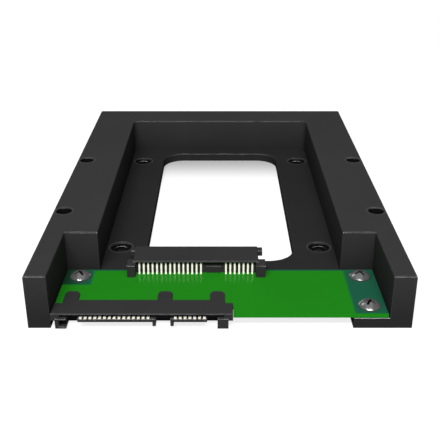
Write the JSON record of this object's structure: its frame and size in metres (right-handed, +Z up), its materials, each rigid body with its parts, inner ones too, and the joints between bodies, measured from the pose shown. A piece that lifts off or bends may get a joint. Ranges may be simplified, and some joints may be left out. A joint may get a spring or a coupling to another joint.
{
  "type": "drive bay adapter bracket",
  "caption": "Flat black frame that holds a 2.5-inch drive in a 3.5-inch bay, with a green board and two keyed connectors at its front.",
  "frame": {"origin": "middle of the footprint, on the underside", "axes": "+Y from the plug end to the back bar, +X to the right seen from the plug end, +Z up"},
  "size_m": [0.1016, 0.147, 0.0155],
  "materials": {
    "frame_black": "matt black, lightly sheened",
    "board_green": "glossy green solder mask",
    "connector_black": "matt black moulding",
    "contact_metal": "bright pale gold plating",
    "screw_metal": "bright steel"
  },
  "bodies": {
    "root": {"frame": "frame_black", "circuit_board": "board_green", "plug_housing": "connector_black", "receptacle_housing": "connector_black", "board_screw_left": "screw_metal", "board_screw_right_rear": "screw_metal", "board_screw_right_front": "screw_metal", "plug_power_contact_15": "contact_metal", "plug_power_contact_14": "contact_metal", "plug_power_contact_13": "contact_metal", "plug_power_contact_12": "contact_metal", "plug_power_contact_11": "contact_metal", "plug_power_contact_10": "contact_metal", "plug_power_contact_09": "contact_metal", "plug_power_contact_08": "contact_metal", "plug_power_contact_07": "contact_metal", "plug_power_contact_06": "contact_metal", "plug_power_contact_05": "contact_metal", "plug_power_contact_04": "contact_metal", "plug_power_contact_03": "contact_metal", "plug_power_contact_02": "contact_metal", "plug_power_contact_01": "contact_metal", "plug_signal_contact_07": "contact_metal", "plug_signal_contact_06": "contact_metal", "plug_signal_contact_05": "contact_metal", "plug_signal_contact_04": "contact_metal", "plug_signal_contact_03": "contact_metal", "plug_signal_contact_02": "contact_metal", "plug_signal_contact_01": "contact_metal", "receptacle_power_contact_15": "contact_metal", "receptacle_power_contact_14": "contact_metal", "receptacle_power_contact_13": "contact_metal", "receptacle_power_contact_12": "contact_metal", "receptacle_power_contact_11": "contact_metal", "receptacle_power_contact_10": "contact_metal", "receptacle_power_contact_09": "contact_metal", "receptacle_power_contact_08": "contact_metal", "receptacle_power_contact_07": "contact_metal", "receptacle_power_contact_06": "contact_metal", "receptacle_power_contact_05": "contact_metal", "receptacle_power_contact_04": "contact_metal", "receptacle_power_contact_03": "contact_metal", "receptacle_power_contact_02": "contact_metal", "receptacle_power_contact_01": "contact_metal", "receptacle_signal_contact_07": "contact_metal", "receptacle_signal_contact_06": "contact_metal", "receptacle_signal_contact_05": "contact_metal", "receptacle_signal_contact_04": "contact_metal", "receptacle_signal_contact_03": "contact_metal", "receptacle_signal_contact_02": "contact_metal", "receptacle_signal_contact_01": "contact_metal"}
  },
  "joints": []
}
